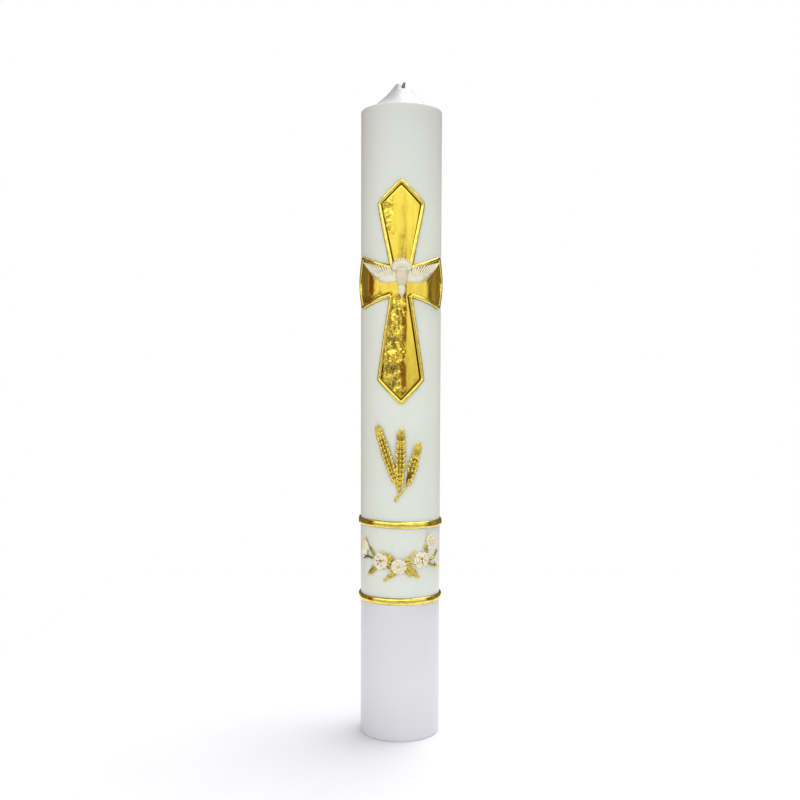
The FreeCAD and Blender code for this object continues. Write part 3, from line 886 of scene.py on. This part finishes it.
def make_dove():
    """Tail fan up, wings spread, head down with a small beak."""
    tail = Relief()
    quills = 13
    for i in range(quills):
        angle = radians(lerp(176, 4, i / (quills - 1)))
        root = (DOVE_ARC + 0.9 * cos(angle), 288.6)
        tip = (DOVE_ARC + 5.9 * cos(angle), 291.0 + 6.0 * sin(angle))
        leaf(tail, root, tip, 1.4, lift=(1.5, 1.3), arch=0.1, thick=0.9, full=1.5, rows=11,
             across=7)
        grain(tail, (*around(tip, -0.7, angle), 2.1), (*around(tip, 0.1, angle), 2.0), 1.15, 0.8,
              point=1.0, rings=6, steps=8)
    turns = [radians(lerp(-35, 215, i / 16)) for i in range(17)]
    disc = [around((DOVE_ARC, 290.9), 5.7, turn) for turn in turns]
    # Painted shade: the disc under the quills is toned low.
    filled(tail, disc, 0.7, lambda x, y: (1.35, 0.3), 0.1)
    tail.finish("dove_tail", PEARL_WAX, "dove")
    body = Relief()
    count = 17
    spine = [(DOVE_ARC, 291.0 - 0.7 * i, 1.3) for i in range(count)]
    girth = [(4.1 * s * lerp(1.0, 0.72, i / count), 1.9 * s) for i, s in
             enumerate(swollen(count, 0.14, 0.86, 0.8))]
    sweep(body, spine, circle(1.0, 16), girth, even(0.42))
    for row in range(4):
        for i in range(5 - row % 2):
            across = i - 2 + 0.5 * (row % 2)
            arc, top = DOVE_ARC + across * 1.3, 289.8 - 1.7 * row
            lift = 2.6 - 0.28 * across**2 - 0.1 * row
            leaf(body, (arc, top - 1.6), (arc + 0.15 * across, top + 0.9), 1.5,
                 lift=(lift, lift + 0.1), arch=0.1, thick=0.3, full=1.2, rows=7, across=5)
    count = 11
    head = [(DOVE_ARC, 280.8 - 0.62 * i, 1.5) for i in range(count)]
    girth = [(2.15 * s, 1.5 * s) for s in swollen(count, 0.2, 0.94, 0.7)]
    sweep(body, head, circle(1.0, 14), girth, even(0.6))
    grain(body, (DOVE_ARC, 275.6, 1.4), (DOVE_ARC + 0.2, 273.0, 0.9), 1.5, 1.2, point=0.5)
    for side in (-1, 1):
        arc = DOVE_ARC + side * 1.2
        grain(body, (arc, 278.2, 2.4), (arc, 277.4, 2.4), 0.6, 0.5)
    body.finish("dove_body", PEARL_WAX, "dove")
    make_wing(-1)
    make_wing(1)


# ---------------- wheat

# Foot of the grains, tip of the ear, and the points of its stem below the grains.
WHEAT = {
    "wheat_ear_left": ((-2.6, 161.6), (-14.4, 196.0), [(-1.0, 156.4), (-1.8, 159.0)]),
    "wheat_ear_middle": ((-0.2, 159.6), (0.3, 194.0), [(-1.2, 155.4), (-0.6, 157.6)]),
    "wheat_ear_right": ((4.0, 160.0), (11.5, 185.6), [(-3.1, 150.1), (-1.2, 153.2), (1.8, 157.0)]),
}
GRAIN_STEP = 2.7
AWNS = 13
SPINE_WIDTHS = (0.7, 1.5, 1.9, 2.2, 2.2, 2.1, 1.9, 0.9)


def make_ear(node, bristle, bare=0):
    """Plump grains in chevrons along a stalk, with awns over the last share of the ear, bristle.
    The first bare rows have grains on their right only, which leaves a hollow with the spine
    painted dark there as shade."""
    foot, tip, stem = WHEAT[node]
    foot, tip = Vector(foot), Vector(tip)
    length = (tip - foot).length
    up = (tip - foot).normalized()
    right = Vector((up.y, -up.x))
    relief = Relief()

    def at(along, across, lift):
        spot = foot + up * along + right * across
        return (spot.x, spot.y, lift)

    grains_end = length * (1 - bristle)
    # Painted shade: the spine between the grains is toned low, lowest along the bare rows.
    spine = [at(length * i / 7, 0, 0.4) for i in range(8)]
    sweep(relief, spine, circle(1.0, 10), [(width, 0.5) for width in SPINE_WIDTHS],
          (lambda t, up: 0.4 * smoothstep(0.2, 0.45, t)) if bare else even(0.4))
    rows = round(grains_end / GRAIN_STEP)
    for row in range(rows):
        t = row / (rows - 1)
        along = grains_end * row / rows
        spread = 0.34 + 0.72 * sin(pi * (0.12 + 0.66 * t))
        for side in (-1, 1) if row >= bare else (1,):
            shake = 0.3 * wobble(30 + len(node), row * 2.3, side * 1.3)
            root = at(along + shake, side * 1.2 * spread, 0.9)
            end = at(along + 3.3 + shake, side * (2.6 * spread + shake), 1.5 + shake)
            grain(relief, root, end, 2.0 + 1.6 * shake, 1.7, point=0.85)
        if row < bare:
            continue
        nod = 0.35 * wobble(31 + len(node), row * 1.7)
        grain(relief, at(along + 0.3, nod, 1.2), at(along + 2.9, -nod, 2.2), 1.55, 1.3, point=0.9)
    for i in range(AWNS):
        s = 2 * i / (AWNS - 1) - 1
        start = at(grains_end * 0.86 + 1.0 * chance.random(), s * 1.6, 1.0 + 0.6 * (1 - s * s))
        bow = at(lerp(grains_end, length, 0.4), s * 2.4, 1.2 + 0.7 * (1 - s * s))
        end = at(length + 1.6 * chance.random() - 2.8 * s * s, s * 2.3, 0.8 + 0.5 * (1 - s * s))
        points = curve_points([start, bow, end], 4)
        # Painted shade: the awns are toned darker towards their roots among the grains.
        sweep(relief, points, circle(0.22, 6), tapered(len(points), 0.4),
              lambda t, up: lerp(0.5, 0.85, t))
    path = curve_points([(x, y, 0.55) for x, y in stem] + [at(0.5, 0, 0.8), at(4.0, 0, 0.8)], 5)
    tube(relief, path, 0.85, taper=0.6, tone=0.6)
    relief.finish(node + "_grains", CAST_GOLD, node)


# ---------------- garland


# Whorls of a rose: petals, reach, width, lift of root and tip, and cup.
WHORLS = [(6, 1.0, 0.80, 0.4, 1.0, 0.9), (5, 0.70, 0.86, 1.0, 1.9, 1.1),
          (3, 0.40, 0.9, 1.8, 2.5, 1.2)]
# Where the hanging bud's petals start, then the tip and width of each.
BUD_TOP = (-25.2, 126.0)
BUD_PETALS = [(-28.6, 118.0, 2.8), (-21.4, 118.6, 2.8), (-27.0, 115.6, 3.0), (-22.8, 115.4, 3.0),
              (-25.0, 114.9, 3.2)]


# The gold parts: blades as (root, tip, width, bend), stalks as points, beads as (arc, height,
# size), and the tone of the stalks. A low stalk tone paints the stalk dark, a painted reflection
# of the dark room beside the candle.
SPRIGS = {
    "leaf_far_left": dict(blades=[((-16.6, 115.2), (-20.8, 121.4), 2.0, 0.6)]),
    "leaf_low_left": dict(blades=[
        ((-14.4, 109.6), (-21.9, 103.1), 3.2, 0), ((-15.0, 109.0), (-19.4, 108.2), 1.4, 0.2),
    ]),
    "leaf_upper_left": dict(blades=[
        ((-4.4, 113.6), (-12.0, 118.9), 1.9, 0), ((-3.6, 113.2), (-7.4, 117.8), 1.9, 0.2),
    ]),
    "leaf_centre_left": dict(blades=[
        ((-1.2, 107.4), (-8.4, 102.4), 3.2, 0), ((-6.4, 103.4), (-10.4, 100.5), 1.6, 0),
    ]),
    "leaf_tall": dict(blades=[
        ((2.6, 111.8), (5.0, 115.4), 2.0, 0.2), ((3.6, 113.2), (9.6, 119.5), 1.6, 0),
    ]),
    "leaf_centre_right": dict(blades=[
        ((2.2, 110.0), (7.6, 103.2), 3.5, 0), ((3.2, 110.2), (10.6, 105.2), 3.4, 0),
        ((8.2, 105.3), (12.4, 102.2), 1.8, 0),
    ]),
    "leaf_small_right": dict(blades=[((18.0, 117.4), (15.3, 122.4), 2.2, 0.3)]),
    "twig_fork_left": dict(stalks=[
        [(-17.6, 114.0), (-22.8, 114.7), (-27.4, 115.0)],
        [(-22.0, 114.6), (-24.6, 113.8), (-26.9, 112.9)],
    ], tone=0.1),
    "sprig_beaded_left": dict(
        blades=[((-8.8, 115.0), (-4.6, 112.4), 1.6, 0.3)],
        stalks=[[(-8.8, 114.6), (-6.6, 111.6), (-5.6, 108.4)]],
        beads=[(-8.2, 112.9, 0.9), (-6.9, 110.7, 1.0), (-7.6, 108.9, 0.85), (-5.9, 108.0, 0.9),
               (-5.8, 112.6, 0.8)],
    ),
    "sprig_curled_right": dict(stalks=[
        [(2.6, 109.8), (4.0, 111.8), (6.4, 112.7), (9.2, 111.8)],
        [(4.0, 111.0), (5.8, 111.2), (7.8, 110.6)],
    ], beads=[(5.4, 114.0, 0.9)]),
    "stem_curved_right": dict(stalks=[
        [(18.3, 112.9), (22.0, 113.2), (25.4, 115.3), (28.2, 118.6)],
    ], tone=0.3),
    "twig_far_right": dict(stalks=[
        [(18.1, 111.7), (21.8, 109.4), (24.4, 108.8), (27.2, 108.2)],
    ], beads=[(25.4, 109.8, 0.9), (27.6, 108.4, 0.8)], tone=0.3),
}


def make_rose(node, centre, size, twist):
    """Whorls of cupped petals, each smaller and more upright, round a tight bud."""
    relief = Relief()
    for number, (count, reach, width, low, high, cup) in enumerate(WHORLS):
        for i in range(count):
            step = 360 / count * (i + 0.5 * number)
            turn = radians(twist + step + 6 * wobble(40, i, number))
            span = size * reach * (1 + 0.12 * wobble(41 + number, i * 1.9, twist))
            leaf(relief, around(centre, 0.12 * span, turn), around(centre, span, turn),
                 size * reach * width * 1.05, lift=(low, high), arch=0.35, cup=cup * 0.5,
                 thick=0.45, full=1.9, curl=-0.35, notch=0.10, rows=11, across=9)
    x, y = centre
    grain(relief, (x, y - 0.6, 2.9), (x + 0.2, y + 0.9, 3.2), 1.5, 1.2)
    relief.finish(node + "_petals", PETAL_WAX, node)


def make_blossom(node, centre, size, count, twist, trailing=()):
    """Open petals round a cluster of small beads, with any trailing petals below."""
    relief = Relief()
    for i in range(count):
        turn = radians(twist + 360 / count * i + 5 * wobble(42, i * 2.1))
        leaf(relief, centre, around(centre, size, turn), size * 5.4 / count, lift=(0.9, 1.3),
             arch=0.5, cup=0.5, thick=0.45, full=1.7, notch=0.14, rib=-0.2, rows=11, across=9)
        inner = around(centre, 0.55 * size, turn + 0.5)
        leaf(relief, centre, inner, size * 2.8 / count, lift=(1.5, 2.2), arch=0.3, cup=0.3,
             thick=0.4, full=1.7, rows=9, across=7)
    for i in range(6):
        x, y = around(centre, 0.75, 2 * pi * i / 6)
        grain(relief, (x, y - 0.35, 2.5), (x, y + 0.35, 2.6), 0.7, 0.7, point=1.0, rings=6, steps=8)
    for tip, width in trailing:
        leaf(relief, centre, tip, width, lift=(0.8, 0.5), arch=0.6, cup=0.3, thick=0.4, full=1.3)
    relief.finish(node + "_petals", PETAL_WAX, node)


def make_hanging_bud(node):
    """A closed flower seen from its side: long pointed petals falling from one tip."""
    relief = Relief()
    x, y = BUD_TOP
    for i, (arc, height, width) in enumerate(BUD_PETALS):
        leaf(relief, (x + 0.12 * (arc - x), y), (arc, height), width,
             lift=(0.5 + 0.25 * i, 0.4 + 0.2 * i), arch=0.8, cup=-0.3, thick=0.45, full=1.25,
             rib=0.3)
    grain(relief, (x, 124.4, 0.9), (x - 0.2, 127.0, 0.9), 2.2, 1.6)
    relief.finish(node + "_petals", PETAL_WAX, node)


def make_leaves(node, blades=(), stalks=(), beads=(), tone=0.7):
    """Gold leaves, stalks and beads that lie on the wax. A straight blade has a vein."""
    relief = Relief()
    for root, tip, width, bend in blades:
        leaf(relief, root, tip, width, lift=(0.5, 0.3), arch=0.3, cup=0.35, thick=0.3, bend=bend,
             rib=0.3)
        if bend == 0:
            vein = [(lerp(root[0], tip[0], t), lerp(root[1], tip[1], t), lift)
                    for t, lift in ((0, 1.1), (0.4, 1.25), (0.75, 0.95))]
            tube(relief, curve_points(vein, 3), 0.22, taper=0.4, steps=6)
    for points in stalks:
        tube(relief, curve_points([(x, y, 0.5) for x, y in points], 5), 0.7, taper=0.7, tone=tone)
    for x, y, size in beads:
        grain(relief, (x, y - size, 0.8), (x + 0.1, y + size, 0.9), 2 * size, 1.8 * size, point=1.0)
    relief.finish(node + "_cast", CAST_GOLD, node)


def make_garland():
    make_hanging_bud("flower_bud_far_left")
    make_rose("rose_left", (-12.5, 112.7), 5.3, 90)
    make_rose("rose_right", (13.4, 113.4), 5.3, 60)
    make_blossom("blossom_centre", (-0.7, 110.1), 4.8, 7, 90)
    make_blossom("blossom_far_right", (20.2, 125.2), 4.0, 6, 90,
                 trailing=[((18.6, 119.4), 2.6), ((21.4, 119.0), 2.6), ((23.0, 121.0), 2.4)])
    for node, parts in SPRIGS.items():
        make_leaves(node, **parts)


# ---------------- room, light and camera

FLOOR_HALF, FLOOR_FRONT, FLOOR_BACK = 0.32, -0.17, 0.5
FLOOR_TINTS = (0.775, 0.78, 0.805), (0.795, 0.80, 0.825)

DARK_ROOM = (0.20, 0.16, 0.125)
WARM_GLINT = (0.8, 0.6, 0.4)
RED_CURTAIN = (0.24, 0.06, 0.03)
DARK_FIGURE = (0.24, 0.10, 0.04)
PALE_CEILING = (0.64, 0.64, 0.66)
SOFTBOX = (1.85, 1.84, 1.80)
# The lit wall in front, from below the floor's edge up: (rise, colour). A rise of 0 is level, and
# 1 is straight up.
FRONT_WALL = ((-0.35, 0.68), (-0.06, (0.54, 0.486, 0.459)), (0.03, (0.90, 0.855, 0.792)),
              (0.09, (1.0, 0.97, 0.92)), (0.16, 1.08))
# Where each thing is: (degrees from the front towards +X, share) and (rise, share).
FRONT_TURNS = ((-126, 0), (-84, 0), (-74, 1), (74, 1), (84, 0), (126, 0))
CURTAIN_TURNS = ((-101, 0), (-97, 1), (-86, 1), (-82, 0))
GLINT_TURNS = ((-106, 0), (-104, 0.6), (-102, 0), (94, 0), (102, 0.22), (114, 0.22), (118, 0))
FIGURE_TURNS = ((-9, 0), (-1, 0.9), (13, 1), (17, 0))
FIGURE_RISES = ((-0.13, 0), (-0.09, 1), (0.10, 1), (0.13, 0))
SOFTBOX_TURNS = ((-82, 0), (-66, 1), (24, 1), (40, 0))
SOFTBOX_RISES = ((0.24, 0), (0.30, 1), (0.52, 1), (0.60, 0))
CEILING_RISES = ((0.52, 0), (0.62, 1))

SUN_ENERGY = 2.3
SUN_SPREAD = 50
SUN_FROM = (0.30, 0.28, 1.0)

CAMERA_PLACE = (0, -0.627526, 0.227826)
CAMERA_DIP, CAMERA_ROLL = 3.64, 0.2
SENSOR_WIDTH, FOCAL_LENGTH = 36.0, 44.776
LENS_SHIFT = (-0.000625, 0.046)


def make_floor():
    """A finite pale sheet under the candle, with its front edge not far before the foot."""
    material, tree, shader = new_material("pale_floor")
    cloud = noise_at(texture_place(tree), 60.0, 2.0)
    pale = ramp(cloud, (0.3, FLOOR_TINTS[0]), (0.7, FLOOR_TINTS[1]))
    feed(shader, Base_Color=pale, Roughness=0.7)
    mesh = bpy.data.meshes.new("floor")
    corners = [(-FLOOR_HALF, FLOOR_FRONT, 0), (FLOOR_HALF, FLOOR_FRONT, 0),
               (FLOOR_HALF, FLOOR_BACK, 0), (-FLOOR_HALF, FLOOR_BACK, 0)]
    mesh.from_pydata(corners, [], [(0, 1, 2, 3)])
    mesh.materials.append(material)
    floor = new_object("floor", mesh)


def make_world():
    """A white background round a room that only lights the candle: a bright wall in front with a
    dark figure and a softbox above, dim sides and back with a red curtain on the left, and a pale
    ceiling."""
    world = bpy.data.worlds.new("studio")
    scene.world = world
    world.use_nodes = True
    tree = world.node_tree
    way = add_node(tree, "ShaderNodeTexCoord").outputs["Generated"]
    parts = add_node(tree, "ShaderNodeSeparateXYZ", Vector=way).outputs
    turn = arithmetic("ARCTAN2", parts["X"], multiply(parts["Y"], -1.0))
    turn_share = arithmetic("MULTIPLY_ADD", turn, 0.5 / pi, 0.5)
    rise_share = arithmetic("MULTIPLY_ADD", parts["Z"], 0.5, 0.5)

    def by_turn(stops):
        return ramp(turn_share, *[(degrees / 360 + 0.5, level) for degrees, level in stops])

    def by_rise(stops):
        return ramp(rise_share, *[(rise / 2 + 0.5, level) for rise, level in stops])

    figure = multiply(by_turn(FIGURE_TURNS), by_rise(FIGURE_RISES))
    softbox = multiply(by_turn(SOFTBOX_TURNS), by_rise(SOFTBOX_RISES))
    room = mix_colour(by_turn(GLINT_TURNS), DARK_ROOM, WARM_GLINT)
    room = mix_colour(by_turn(CURTAIN_TURNS), room, RED_CURTAIN)
    room = mix_colour(by_turn(FRONT_TURNS), room, by_rise(FRONT_WALL))
    room = mix_colour(figure, room, DARK_FIGURE)
    room = mix_colour(by_rise(CEILING_RISES), room, PALE_CEILING)
    room = mix_colour(softbox, room, SOFTBOX)
    seen = add_node(tree, "ShaderNodeLightPath").outputs["Is Camera Ray"]
    background = tree.nodes["Background"]
    feed(background, Color=mix_colour(seen, room, grey(1.0)), Strength=1.0)


def make_sun():
    """A very wide soft light from high on the right, a little behind, for the floor's shadow."""
    lamp = bpy.data.lights.new("key", "SUN")
    lamp.energy = SUN_ENERGY
    lamp.angle = radians(SUN_SPREAD)
    new_object("key", lamp).rotation_euler = Vector(SUN_FROM).to_track_quat("Z", "Y").to_euler()


def make_camera():
    lens = bpy.data.cameras.new("camera")
    lens.sensor_width = SENSOR_WIDTH
    lens.lens = FOCAL_LENGTH
    lens.shift_x, lens.shift_y = LENS_SHIFT
    camera = new_object("camera", lens)
    tilt = Euler((radians(90 - CAMERA_DIP), 0, 0)).to_matrix().to_4x4()
    roll = Matrix.Rotation(radians(CAMERA_ROLL), 4, "Z")
    camera.matrix_world = Matrix.Translation(CAMERA_PLACE) @ tilt @ roll
    scene.camera = camera


make_camera()
make_floor()
make_world()
make_sun()

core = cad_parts["wax_core"]
core.data.materials.clear()
core.data.materials.append(CORE_WAX)

make_coat()
make_wick()
make_band("upper_band", radians(1.3))
make_band("lower_band", 0.0)
make_borders()
make_foil()
make_dove()
make_ear("wheat_ear_left", 0.12)
make_ear("wheat_ear_middle", 0.20)
make_ear("wheat_ear_right", 0.30, bare=3)
make_garland()

scene.view_settings.view_transform = "Standard"
